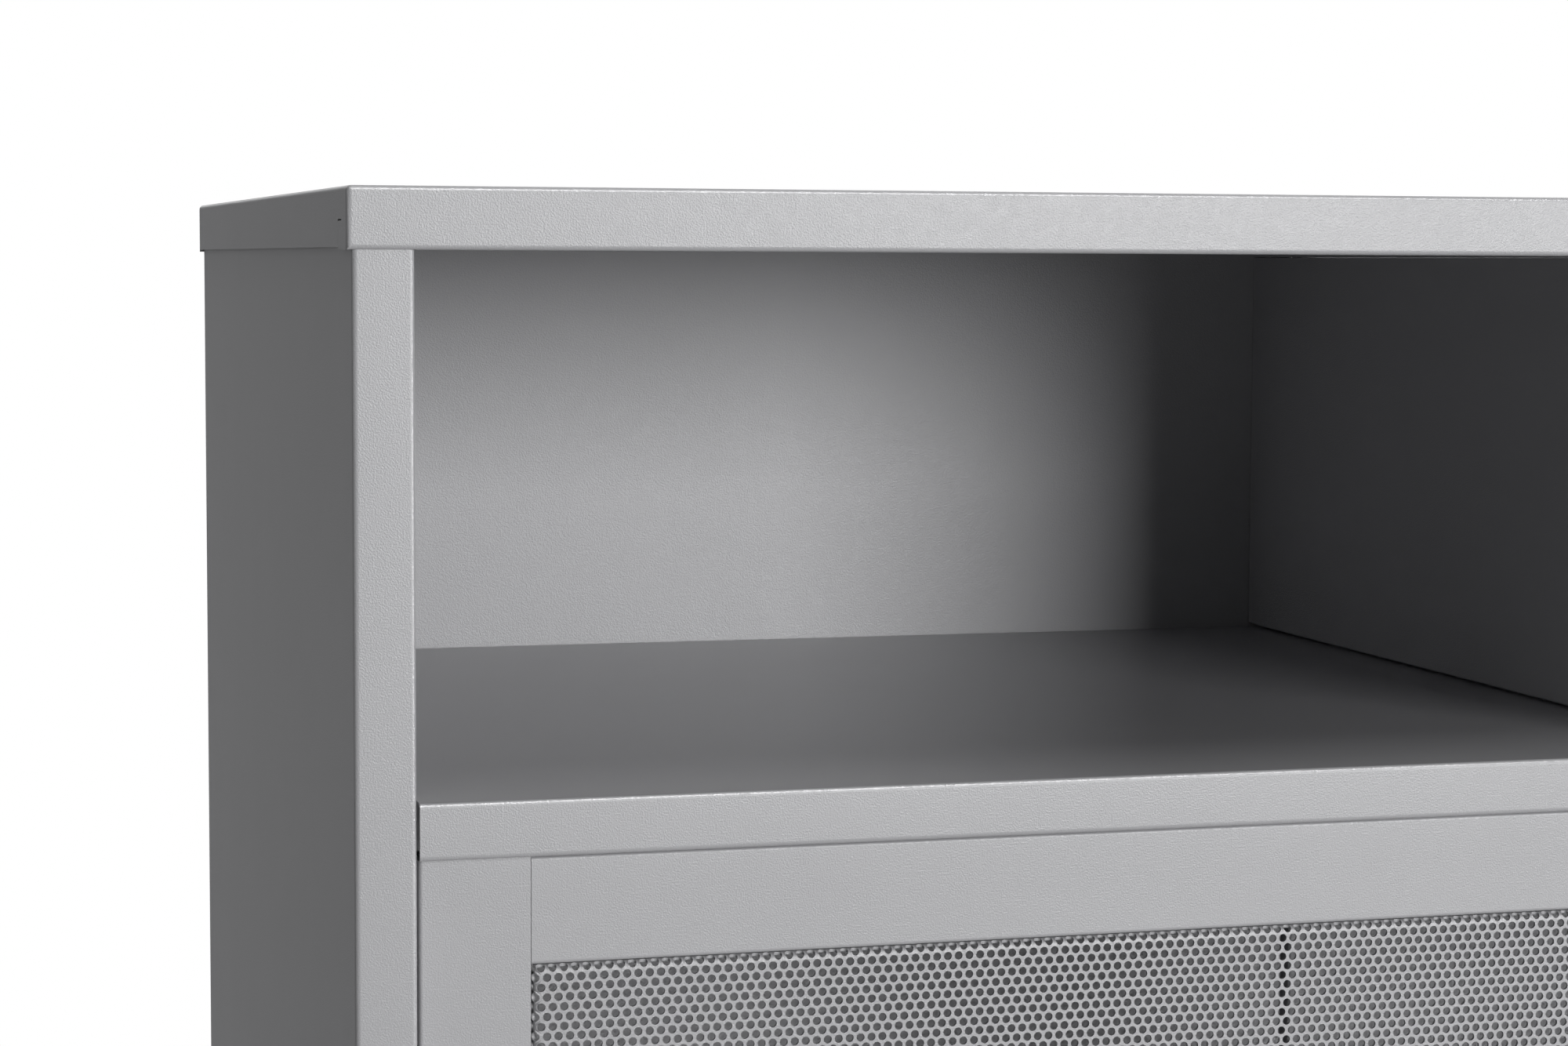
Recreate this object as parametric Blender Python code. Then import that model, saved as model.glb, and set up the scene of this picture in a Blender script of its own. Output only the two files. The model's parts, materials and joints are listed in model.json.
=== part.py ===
"""A wall cabinet of folded, powder-coated sheet steel, with an open niche above two perforated doors.

x runs to the right, y into the wall and z up. The origin is on the wall face, in the middle of the width.
Sizes are in millimetres, and MM turns them into Blender's metres.
"""

import math

import bmesh
import bpy
from mathutils import Matrix, Vector

MM = 0.001

# Overall sizes
WIDTH = 810.0
DEPTH = 350.0
HEIGHT = 600.0
TOP = 50.0

# Sheet, folds and clearances
SHEET = 1.0
FOLD_RADIUS = 1.4
EDGE_BREAK = 0.2
FOLD_STEPS = 4
ROUND_SIDES = 32
SMALL_ROUND_SIDES = 24
SHARP_ANGLE = math.radians(30)
SEAT = 0.3
MERGE = 0.0001

# Lid
LID_HEIGHT = 16.0
LID_OVERHANG = 1.5
LID_HEM = 12.0
TAB_LENGTH = 14.7
TAB_HEIGHT = 7.3
TAB_DROP = 0.7
TAB_SEAM = 0.2
RELIEF_LENGTH = 5.8
RELIEF_WIDTH = 0.4

# Carcass
JAMB = 15.8
JAMB_RETURN = 12.0
NICHE_HEIGHT = 139.5
FLANGE = 15.0
TRAY_END_GAP = 0.7
TRAY_HEM = 20.0
TRAY_HEM_INSET = 9.0
BACK_RECESS = 9.0
BACK_SEAM_X = 4.5
BACK_SEAM = 3.0
COVER_WIDTH = 60.0

# Partition
PARTITION = 26.0
PARTITION_SETBACK = 6.0
PARTITION_REVEAL = 1.5
FOOT_HEIGHT = 14.0
FOOT_SCREW_INSET = 40.0
FOOT_SCREW_REACH = 4.0

# Inner shelf
INNER_SHELF_TOP = -325.0
INNER_SHELF_FRONT = -300.0
INNER_SHELF_SIDE_GAP = 2.0
REST_LEG = 15.0

# Wall brackets
BRACKET_X = 280.0
BRACKET_LENGTH = 110.0
BRACKET_WEB = 36.0
BRACKET_FOOT = 13.0
BRACKET_SHEET = 1.5
BRACKET_FOLD_RADIUS = 2.0
KEYHOLE_HEAD = 4.5
KEYHOLE_NECK = 2.5
KEYHOLE_RISE = 11.0

# Doors
DOOR_RECESS = 6.0
DOOR_DEPTH = 16.0
DOOR_FOLD_RADIUS = 1.0
DOOR_SIDE_GAP = 1.4
DOOR_MEET_GAP = 2.0
DOOR_END_GAP = 0.8
STILE_FACE = 29.0
RAIL_FACE = 28.2
RAIL_LIP = 10.0
BUTT_GAP = 0.15
DOOR_REAR_LIP = 10.0
MESH_RECESS = 1.5
MESH_FLANGE = 9.0
MESH_SHEET = 0.8
MESH_BEND = 1.8
MESH_RIM = 12.0
MESH_BAR = 10.0
MESH_OPENINGS = 10

# Pivots
PIVOT_FROM_EDGE = 14.3
PIVOT_FROM_FACE = 5.0
PIN_RADIUS = 2.0
PIN_REACH = 6.0
PIN_CHAMFER = 0.5
PLUG_LENGTH = 15.0
PLUG_ROUND = 0.8
BUSH_RADIUS = 3.0
BUSH_COLLAR = 4.5
BUSH_COLLAR_HEIGHT = 4.0

# Pulls, catches and screws
KNOB_RADIUS = 7.0
KNOB_NECK = 4.0
KNOB_NECK_LENGTH = 9.0
KNOB_FLARE = 3.0
KNOB_LENGTH = 20.0
KNOB_EDGE = 1.3
KNOB_BORE_DEPTH = 12.0
KNOB_FROM_BOTTOM = 150.0
SCREW_RADIUS = 1.7
SCREW_HEAD = 3.6
SCREW_HEAD_HEIGHT = 2.2
SCREW_CHAMFER = 0.5
SCREW_SOCKET = 1.3
SCREW_SOCKET_DEPTH = 1.1
CATCH_WIDTH = 26.0
CATCH_DEPTH = 14.0
CATCH_X = 8.0
CATCH_GAP = 0.6
MAGNET = (18.0, 4.0, 9.0)
STRIKE = (22.0, 1.2, 14.0)
STRIKE_DROP = 4.0

# Where the main surfaces lie
HALF = WIDTH / 2
BODY_HALF = HALF - LID_OVERHANG
OPENING_HALF = BODY_HALF - JAMB
LID_FRONT = -DEPTH
BODY_FRONT = LID_FRONT + SHEET + SEAT
JAMB_REAR = BODY_FRONT + JAMB_RETURN
LID_UNDER = TOP - LID_HEIGHT
SIDE_TOP = TOP - SHEET - SEAT
BOTTOM = TOP - HEIGHT
SHELF_TOP = LID_UNDER - NICHE_HEIGHT
SHELF_UNDER = SHELF_TOP - FLANGE
BASE_TOP = BOTTOM + FLANGE
BACK_FACE = -BACK_RECESS
BACK_LIP = -SHEET - SEAT
TRAY_HALF = BODY_HALF - SHEET - SEAT
TRAY_NECK = OPENING_HALF - TRAY_END_GAP
TRAY_REAR = BACK_FACE - SEAT
DOOR_FRONT = BODY_FRONT + DOOR_RECESS
DOOR_REAR = DOOR_FRONT + DOOR_DEPTH
DOOR_TOP = SHELF_UNDER - DOOR_END_GAP
DOOR_BOTTOM = BASE_TOP + DOOR_END_GAP
DOOR_OUTER = OPENING_HALF - DOOR_SIDE_GAP
DOOR_INNER = DOOR_MEET_GAP / 2
WINDOW_OUTER = DOOR_OUTER - STILE_FACE
WINDOW_INNER = DOOR_INNER + STILE_FACE
WINDOW_TOP = DOOR_TOP - RAIL_FACE
WINDOW_BOTTOM = DOOR_BOTTOM + RAIL_FACE
PIVOT_X = DOOR_OUTER - PIVOT_FROM_EDGE
PIVOT_Y = DOOR_FRONT + PIVOT_FROM_FACE
PIN_BORE = PIN_RADIUS + SEAT
SCREW_BORE = SCREW_RADIUS + SEAT

# Finishes: colour, roughness, metallic
FINISHES = {
    "powder_coat": ((0.36, 0.36, 0.37), 0.55, 0.0),
    "zinc_steel": ((0.58, 0.58, 0.60), 0.35, 1.0),
    "nylon": ((0.62, 0.61, 0.58), 0.5, 0.0),
    "black_plastic": ((0.03, 0.03, 0.032), 0.45, 0.0),
    "magnet": ((0.30, 0.30, 0.31), 0.3, 1.0),
}


def clear_scene():
    for obj in list(bpy.data.objects):
        bpy.data.objects.remove(obj)


def finish_material(name, finish):
    colour, roughness, metallic = FINISHES[finish]
    material = bpy.data.materials.new(f"{name}_{finish}")
    material.use_nodes = True
    shader = material.node_tree.nodes["Principled BSDF"]
    shader.inputs["Base Color"].default_value = (*colour, 1.0)
    shader.inputs["Roughness"].default_value = roughness
    shader.inputs["Metallic"].default_value = metallic
    return material


def new_object(name, bm, finish=None):
    mesh = bpy.data.meshes.new(name)
    bm.to_mesh(mesh)
    bm.free()
    mesh.shade_smooth()
    mesh.set_sharp_from_angle(angle=SHARP_ANGLE)
    obj = bpy.data.objects.new(name, mesh)
    bpy.context.scene.collection.objects.link(obj)
    if finish:
        mesh.materials.append(finish_material(name, finish))
    return obj


# Flat pieces of a folded sheet, each a rectangle across one axis
def wall_x(x, y, z):
    return [(x, y[0], z[0]), (x, y[1], z[0]), (x, y[1], z[1]), (x, y[0], z[1])]


def wall_y(y, x, z):
    return [(x[0], y, z[0]), (x[1], y, z[0]), (x[1], y, z[1]), (x[0], y, z[1])]


def wall_z(z, x, y):
    return [(x[0], y[0], z), (x[1], y[0], z), (x[1], y[1], z), (x[0], y[1], z)]


def folded_sheet(name, walls, inside, thickness=SHEET, radius=FOLD_RADIUS, finish="powder_coat"):
    """Joins walls into one sheet that is folded along their shared edges and thickens towards inside."""
    bm = bmesh.new()
    for wall in walls:
        bm.faces.new([bm.verts.new(Vector(point) * MM) for point in wall])
    bmesh.ops.remove_doubles(bm, verts=bm.verts, dist=MERGE)
    bm.normal_update()
    for face in bm.faces:
        if face.normal.dot(face.calc_center_median() - Vector(inside) * MM) < 0:
            face.normal_flip()
    obj = new_object(name, bm, finish)
    fold = obj.modifiers.new("Fold", "BEVEL")
    fold.limit_method = "ANGLE"
    fold.angle_limit = SHARP_ANGLE
    fold.width = radius * MM
    fold.segments = FOLD_STEPS
    thick = obj.modifiers.new("Thickness", "SOLIDIFY")
    thick.thickness = thickness * MM
    thick.offset = -1.0
    thick.use_even_offset = True
    return obj


def folded_pan(name, x, y, z, thickness=SHEET, radius=FOLD_RADIUS):
    """A front face at the first y limit, with a flange folded back to the second along each of its edges."""
    walls = [
        wall_y(y[0], x, z),
        wall_x(x[0], y, z),
        wall_x(x[1], y, z),
        wall_z(z[0], x, y),
        wall_z(z[1], x, y),
    ]
    return folded_sheet(name, walls, (sum(x) / 2, y[1], sum(z) / 2), thickness, radius)


def block(name, x, y, z, finish=None, radius=0.0, rounded=None):
    """A box between the given limits, with the edges that rounded picks, or all, rounded by radius."""
    bm = bmesh.new()
    size = Vector((x[1] - x[0], y[1] - y[0], z[1] - z[0]))
    middle = Vector((x[0] + x[1], y[0] + y[1], z[0] + z[1])) / 2
    bmesh.ops.create_cube(bm, size=1.0)
    bmesh.ops.scale(bm, vec=size * MM, verts=bm.verts)
    bmesh.ops.translate(bm, vec=middle * MM, verts=bm.verts)
    if radius:
        edges = [edge for edge in bm.edges if rounded is None or rounded(edge)]
        bmesh.ops.bevel(bm, geom=edges, offset=radius * MM, segments=FOLD_STEPS, profile=0.5, affect="EDGES")
    return new_object(name, bm, finish)


def turned(name, profile, finish=None, ring=False, sides=ROUND_SIDES):
    """Revolves a profile of (radius, height) points round z. It ends on the axis, or closes as a ring."""
    bm = bmesh.new()
    rows = []
    for radius, height in profile:
        if radius == 0.0:
            rows.append([bm.verts.new(Vector((0.0, 0.0, height)) * MM)] * sides)
            continue
        turns = [2 * math.pi * i / sides for i in range(sides)]
        points = [Vector((radius * math.cos(a), radius * math.sin(a), height)) for a in turns]
        rows.append([bm.verts.new(point * MM) for point in points])
    pairs = list(zip(rows, rows[1:]))
    if ring:
        pairs.append((rows[-1], rows[0]))
    for lower, upper in pairs:
        for i in range(sides):
            j = (i + 1) % sides
            corners = [lower[i], lower[j], upper[j], upper[i]]
            bm.faces.new(list(dict.fromkeys(corners)))
    bmesh.ops.recalc_face_normals(bm, faces=bm.faces)
    return new_object(name, bm, finish)


def cut(obj, cutter):
    """Takes cutter out of obj and hides it."""
    cutter.hide_render = True
    cutter.display_type = "WIRE"
    hole = obj.modifiers.new(cutter.name, "BOOLEAN")
    hole.operation = "DIFFERENCE"
    hole.solver = "EXACT"
    hole.object = cutter
    return obj


def cut_block(obj, label, x, y, z):
    return cut(obj, block(f"{obj.name}_{label}_cutter", x, y, z))


def cut_round(obj, label, centre, radius, length, across=False, sides=ROUND_SIDES):
    """Drills along z, or along y where across is set, length to either side of centre."""
    drill = turned(
        f"{obj.name}_{label}_cutter",
        [(0.0, -length), (radius, -length), (radius, length), (0.0, length)],
        sides=sides,
    )
    drill.location = Vector(centre) * MM
    if across:
        drill.rotation_euler = (math.pi / 2, 0.0, 0.0)
    return cut(obj, drill)


def cut_screw_hole(obj, label, centre, across=False):
    return cut_round(obj, f"screw_{label}", centre, SCREW_BORE, 2 * SHEET, across, SMALL_ROUND_SIDES)


def openings(limits):
    """The limits of equal openings between two limits, with bars of MESH_BAR between them."""
    step = (limits[1] - limits[0] + MESH_BAR) / MESH_OPENINGS
    starts = [limits[0] + step * i for i in range(MESH_OPENINGS)]
    return [(start, start + step - MESH_BAR) for start in starts]


def cut_grid(obj, x, y, z):
    """Cuts rows of equal rectangular openings through obj between the given limits."""
    bm = bmesh.new()
    for left, right in openings(x):
        for bottom, top in openings(z):
            size = Vector((right - left, y[1] - y[0], top - bottom)) * MM
            middle = Vector((left + right, y[0] + y[1], bottom + top)) / 2 * MM
            bmesh.ops.create_cube(bm, size=1.0, matrix=Matrix.LocRotScale(middle, None, size))
    return cut(obj, new_object(f"{obj.name}_grid_cutter", bm))


def span(side, near, far):
    """The limits between two distances from the middle, on the left for -1 and on the right for 1."""
    return tuple(sorted((side * near, side * far)))


def side_name(side):
    return "left" if side < 0 else "right"


def place(obj, point, rotation=(0.0, 0.0, 0.0)):
    obj.location = Vector(point) * MM
    obj.rotation_euler = rotation
    return obj


def hang(obj, pivot):
    """Parents obj to a pivot and keeps its place, with its origin on the pivot's axis."""
    bpy.context.view_layer.update()
    shift = Matrix.Translation(-pivot.location) @ obj.matrix_world
    obj.data.transform(shift)
    obj.matrix_world = Matrix.Identity(4)
    obj.parent = pivot
    return obj


def build_lid():
    def soft(edge):
        above = any(vertex.co.z > LID_UNDER * MM + MERGE for vertex in edge.verts)
        return above or all(vertex.co.y < LID_FRONT * MM + MERGE for vertex in edge.verts)

    lid = block("top_lid", (-HALF, HALF), (LID_FRONT, 0), (LID_UNDER, TOP), "powder_coat", FOLD_RADIUS, soft)
    inner_half = HALF - SHEET
    inner_front = LID_FRONT + SHEET
    hem_rear = inner_front + LID_HEM
    mouth = (LID_UNDER - SHEET, LID_UNDER + 2 * SHEET)
    hollow = (LID_UNDER + SHEET, TOP - SHEET)
    cut_block(lid, "hollow", (-inner_half, inner_half), (inner_front, -SHEET), hollow)
    cut_block(lid, "mouth", (-inner_half, inner_half), (hem_rear, -SHEET), mouth)
    tab_end = LID_FRONT + TAB_LENGTH
    relief_z = LID_UNDER + TAB_HEIGHT
    seam_z = (LID_UNDER - SHEET, relief_z)
    for side in (-1, 1):
        where = side_name(side)
        flange = span(side, inner_half - SEAT, HALF + SHEET)
        over_jamb = span(side, OPENING_HALF - SEAT, inner_half)
        cut_block(lid, f"corner_{where}", over_jamb, (inner_front, hem_rear), mouth)
        cut_block(lid, f"tab_{where}", flange, (tab_end, tab_end + TAB_SEAM), seam_z)
        relief_y = (tab_end + TAB_SEAM - RELIEF_LENGTH, tab_end + TAB_SEAM)
        cut_block(lid, f"relief_{where}", flange, relief_y, (relief_z, relief_z + RELIEF_WIDTH))
        trim_y = (tab_end + TAB_SEAM / 2, -FOLD_RADIUS)
        cut_block(lid, f"trim_{where}", flange, trim_y, (LID_UNDER - SHEET, LID_UNDER + TAB_DROP))


def build_lid_stringer():
    half = PARTITION / 2
    y = (LID_FRONT + SHEET + LID_HEM + SEAT, TRAY_REAR)
    z = (LID_UNDER, SIDE_TOP)
    walls = [wall_x(-half, y, z), wall_z(SIDE_TOP, (-half, half), y), wall_x(half, y, z)]
    folded_sheet("lid_stringer", walls, (0, BODY_FRONT / 2, LID_UNDER))


def build_side(side):
    y = (BODY_FRONT, 0.0)
    z = (BOTTOM, SIDE_TOP)
    jamb = span(side, OPENING_HALF, BODY_HALF)
    walls = [
        wall_x(side * OPENING_HALF, (BODY_FRONT, JAMB_REAR), z),
        wall_y(BODY_FRONT, jamb, z),
        wall_x(side * BODY_HALF, y, z),
        wall_y(0.0, jamb, z),
    ]
    inside = (side * (OPENING_HALF + BODY_HALF) / 2, BODY_FRONT + JAMB_RETURN / 2, BOTTOM / 2)
    panel = folded_sheet(f"side_panel_{side_name(side)}", walls, inside)
    room = span(side, OPENING_HALF - SHEET, HALF)
    cut_block(panel, "lid_room", room, (BACK_LIP, SHEET), (LID_UNDER - SEAT, TOP))


def build_tray(name, top, bush_z):
    """A shelf between the sides: its front flange fits between the jambs and folds in to a hem."""
    under = top - FLANGE
    z = (under, top)
    neck = (-TRAY_NECK, TRAY_NECK)
    wide = (-TRAY_HALF, TRAY_HALF)
    shoulder = JAMB_REAR + SEAT
    half_outline = [
        (TRAY_NECK, BODY_FRONT, top),
        (TRAY_NECK, shoulder, top),
        (TRAY_HALF, shoulder, top),
        (TRAY_HALF, TRAY_REAR, top),
    ]
    walls = [
        half_outline + [(-x, y, z) for x, y, z in reversed(half_outline)],
        wall_y(BODY_FRONT, neck, z),
        wall_z(under, neck, (BODY_FRONT, BODY_FRONT + TRAY_HEM)),
        wall_y(TRAY_REAR, wide, z),
    ]
    for side in (-1, 1):
        walls.append(wall_x(side * TRAY_HALF, (shoulder, TRAY_REAR), z))
    tray = folded_sheet(name, walls, (0.0, BODY_FRONT + JAMB_RETURN, (under + top) / 2))
    hem_y = (BODY_FRONT + SHEET, BODY_FRONT + TRAY_HEM + SHEET)
    hem_z = (under - SHEET, under + FOLD_RADIUS)
    for side in (-1, 1):
        where = side_name(side)
        hem_x = span(side, TRAY_NECK - TRAY_HEM_INSET, TRAY_NECK + SHEET)
        cut_block(tray, f"hem_{where}", hem_x, hem_y, hem_z)
        bore = (side * PIVOT_X, PIVOT_Y, bush_z)
        cut_round(tray, f"bush_{where}", bore, BUSH_RADIUS + SEAT, 2 * SHEET)
    return tray


def build_trays():
    shelf = build_tray("niche_shelf", SHELF_TOP, SHELF_UNDER)
    for label, y in foot_screw_places():
        cut_screw_hole(shelf, label, (0.0, y, SHELF_TOP))
    build_tray("base_panel", BASE_TOP, BASE_TOP)


def foot_screw_places():
    front = BODY_FRONT + PARTITION_SETBACK + FOOT_SCREW_INSET
    return [("front", front), ("rear", TRAY_REAR - FOOT_SCREW_INSET)]


def build_partition():
    half = PARTITION / 2
    front = BODY_FRONT + PARTITION_SETBACK
    y = (front, TRAY_REAR)
    z = (SHELF_TOP + PARTITION_REVEAL, LID_UNDER - SEAT)
    walls = [wall_x(-half, y, z), wall_y(front, (-half, half), z), wall_x(half, y, z)]
    folded_sheet("niche_partition", walls, (0.0, BODY_FRONT / 2, LID_UNDER - NICHE_HEIGHT / 2))

    foot_half = half - SHEET - SEAT
    foot_z = SHELF_TOP + SEAT
    foot_y = (front + 2 * FOLD_RADIUS, TRAY_REAR)
    leg_z = (foot_z, foot_z + FOOT_HEIGHT)
    walls = [
        wall_x(-foot_half, foot_y, leg_z),
        wall_z(foot_z, (-foot_half, foot_half), foot_y),
        wall_x(foot_half, foot_y, leg_z),
    ]
    foot = folded_sheet("partition_foot", walls, (0.0, BODY_FRONT / 2, foot_z + FOOT_HEIGHT))
    for label, screw_y in foot_screw_places():
        cut_screw_hole(foot, label, (0.0, screw_y, foot_z))
        screw = build_screw(f"partition_screw_{label}", FOOT_SCREW_REACH)
        place(screw, (0.0, screw_y, SHELF_TOP - SHEET - SEAT))


def build_screw(name, reach):
    """A pan-head screw with a socket: its head hangs below the origin and its shank reaches up."""
    head = -SCREW_HEAD_HEIGHT
    socket = head + SCREW_SOCKET_DEPTH
    profile = [
        (0.0, socket),
        (SCREW_SOCKET, socket),
        (SCREW_SOCKET, head),
        (SCREW_HEAD - SCREW_CHAMFER, head),
        (SCREW_HEAD, head + SCREW_CHAMFER),
        (SCREW_HEAD, 0.0),
        (SCREW_RADIUS, 0.0),
        (SCREW_RADIUS, reach - SCREW_CHAMFER),
        (SCREW_RADIUS - SCREW_CHAMFER, reach),
        (0.0, reach),
    ]
    return turned(name, profile, "zinc_steel", sides=SMALL_ROUND_SIDES)


def build_backs():
    foot = BOTTOM + SHEET
    y = (BACK_FACE, BACK_LIP)
    limits = {
        "left": (-TRAY_HALF, BACK_SEAM_X - BACK_SEAM / 2),
        "right": (BACK_SEAM_X + BACK_SEAM / 2, TRAY_HALF),
    }
    for where, x in limits.items():
        folded_pan(f"back_panel_{where}", x, y, (foot, SIDE_TOP))
    cover = (BACK_SEAM_X - COVER_WIDTH / 2, BACK_SEAM_X + COVER_WIDTH / 2)
    cover_z = (foot, LID_UNDER - SEAT)
    block("back_cover_strip", cover, (-SHEET, 0.0), cover_z, "powder_coat", EDGE_BREAK)


def build_wall_bracket(side):
    x = span(side, BRACKET_X - BRACKET_LENGTH / 2, BRACKET_X + BRACKET_LENGTH / 2)
    web = BRACKET_WEB / 2
    foot_y = BACK_FACE + SHEET + SEAT + BRACKET_SHEET
    walls = [
        wall_y(foot_y, x, (-web - BRACKET_FOOT, -web)),
        wall_z(-web, x, (foot_y, 0.0)),
        wall_y(0.0, x, (-web, web)),
        wall_z(web, x, (foot_y, 0.0)),
        wall_y(foot_y, x, (web, web + BRACKET_FOOT)),
    ]
    name = f"wall_bracket_{side_name(side)}"
    inside = (side * BRACKET_X, BODY_FRONT, 0.0)
    bracket = folded_sheet(name, walls, inside, BRACKET_SHEET, BRACKET_FOLD_RADIUS, "zinc_steel")
    head = (side * BRACKET_X, 0.0, -KEYHOLE_RISE / 2)
    neck = (side * BRACKET_X, 0.0, KEYHOLE_RISE / 2)
    slot = span(side, BRACKET_X - KEYHOLE_NECK, BRACKET_X + KEYHOLE_NECK)
    cut_round(bracket, "keyhole_head", head, KEYHOLE_HEAD, 2 * BRACKET_SHEET, across=True)
    cut_block(bracket, "keyhole_slot", slot, (-2 * BRACKET_SHEET, BRACKET_SHEET), (head[2], neck[2]))
    cut_round(bracket, "keyhole_neck", neck, KEYHOLE_NECK, 2 * BRACKET_SHEET, across=True)


def build_inner_shelf():
    half = TRAY_HALF - INNER_SHELF_SIDE_GAP
    x = (-half, half)
    y = (INNER_SHELF_FRONT, TRAY_REAR)
    z = (INNER_SHELF_TOP - FLANGE, INNER_SHELF_TOP)
    walls = [
        wall_z(z[1], x, y),
        wall_y(y[0], x, z),
        wall_y(y[1], x, z),
        wall_z(z[0], x, (y[0], y[0] + LID_HEM)),
    ]
    folded_sheet("inner_shelf", walls, (0.0, y[0] + LID_HEM, sum(z) / 2))
    rest_top = z[1] - SHEET - SEAT
    rest_y = (y[0] + LID_HEM + SHEET, y[1] - 2 * SHEET)
    for side in (-1, 1):
        leg_x = span(side, TRAY_HALF - REST_LEG, TRAY_HALF)
        walls = [
            wall_z(rest_top, leg_x, rest_y),
            wall_x(side * TRAY_HALF, rest_y, (rest_top - FLANGE, rest_top)),
        ]
        inside = (0.0, sum(rest_y) / 2, rest_top - FLANGE)
        folded_sheet(f"shelf_rest_{side_name(side)}", walls, inside)


def build_catch(side):
    """A magnet in a plastic body under the niche shelf, behind the door's free stile."""
    strike_rear = DOOR_REAR + SEAT + STRIKE[1]
    front = strike_rear + CATCH_GAP
    magnet_z = DOOR_TOP - STRIKE_DROP - STRIKE[2] / 2
    x = span(side, CATCH_X, CATCH_X + CATCH_WIDTH)
    z = (magnet_z - STRIKE[2] / 2, SHELF_TOP - SHEET - SEAT)
    name = f"catch_body_{side_name(side)}"
    body = block(name, x, (front, front + CATCH_DEPTH), z, "black_plastic", FOLD_RADIUS)
    middle = sum(x) / 2
    wide, deep, tall = MAGNET
    pocket_x = (middle - wide / 2 - SEAT, middle + wide / 2 + SEAT)
    pocket_z = (magnet_z - tall / 2 - SEAT, magnet_z + tall / 2 + SEAT)
    cut_block(body, "pocket", pocket_x, (front - SHEET, front + deep + SEAT), pocket_z)
    magnet_x = (middle - wide / 2, middle + wide / 2)
    magnet_z = (magnet_z - tall / 2, magnet_z + tall / 2)
    block(f"catch_magnet_{side_name(side)}", magnet_x, (front, front + deep), magnet_z, "magnet", SEAT)


def build_bushes(side):
    """Collared bushes for one door, pushed from inside through the shelf's hem and the base."""
    shoulder = SHEET + SEAT
    end = shoulder + BUSH_COLLAR_HEIGHT
    profile = [
        (PIN_BORE, 0.0),
        (BUSH_RADIUS, 0.0),
        (BUSH_RADIUS, shoulder),
        (BUSH_COLLAR, shoulder),
        (BUSH_COLLAR, end),
        (PIN_BORE, end),
    ]
    where = side_name(side)
    upper = turned(f"bush_{where}_top", profile, "nylon", ring=True)
    place(upper, (side * PIVOT_X, PIVOT_Y, SHELF_UNDER))
    lower = turned(f"bush_{where}_bottom", profile, "nylon", ring=True)
    place(lower, (side * PIVOT_X, PIVOT_Y, BASE_TOP), (math.pi, 0.0, 0.0))


def build_stile(name, side, edge, window):
    """An upright of a door frame, folded back round the door's edge and cut plain at the window."""
    z = (DOOR_BOTTOM, DOOR_TOP)
    lip_end = edge + math.copysign(DOOR_REAR_LIP, window - edge)
    walls = [
        wall_y(DOOR_REAR, span(side, lip_end, edge), z),
        wall_x(side * edge, (DOOR_FRONT, DOOR_REAR), z),
        wall_y(DOOR_FRONT, span(side, edge, window), z),
    ]
    inside = (side * (edge + window) / 2, (DOOR_FRONT + DOOR_REAR) / 2, sum(z) / 2)
    return folded_sheet(name, walls, inside, radius=DOOR_FOLD_RADIUS)


def build_rail(name, side, edge, window):
    """A cross piece of a door frame, which butts against both stiles and folds back at the window."""
    x = span(side, WINDOW_INNER + BUTT_GAP, WINDOW_OUTER - BUTT_GAP)
    lip_end = edge + math.copysign(DOOR_REAR_LIP, window - edge)
    walls = [
        wall_y(DOOR_REAR, x, sorted((lip_end, edge))),
        wall_z(edge, x, (DOOR_FRONT, DOOR_REAR)),
        wall_y(DOOR_FRONT, x, sorted((edge, window))),
        wall_z(window, x, (DOOR_FRONT, DOOR_FRONT + RAIL_LIP)),
    ]
    inside = (sum(x) / 2, DOOR_FRONT + RAIL_LIP / 2, (edge + window) / 2)
    return folded_sheet(name, walls, inside, radius=DOOR_FOLD_RADIUS)


def build_mesh_sheet(name, side):
    """A shallow tray that fills the door's window. A coarse grid of openings stands for its fine holes."""
    front = DOOR_FRONT + MESH_RECESS
    x = span(side, WINDOW_INNER + SEAT, WINDOW_OUTER - SEAT)
    z = (WINDOW_BOTTOM + SEAT, WINDOW_TOP - SEAT)
    tray = folded_pan(name, x, (front, front + MESH_FLANGE), z, MESH_SHEET, MESH_BEND)
    through = (front - MESH_SHEET, front + 2 * MESH_SHEET)
    return cut_grid(tray, (x[0] + MESH_RIM, x[1] - MESH_RIM), through, (z[0] + MESH_RIM, z[1] - MESH_RIM))


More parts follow.
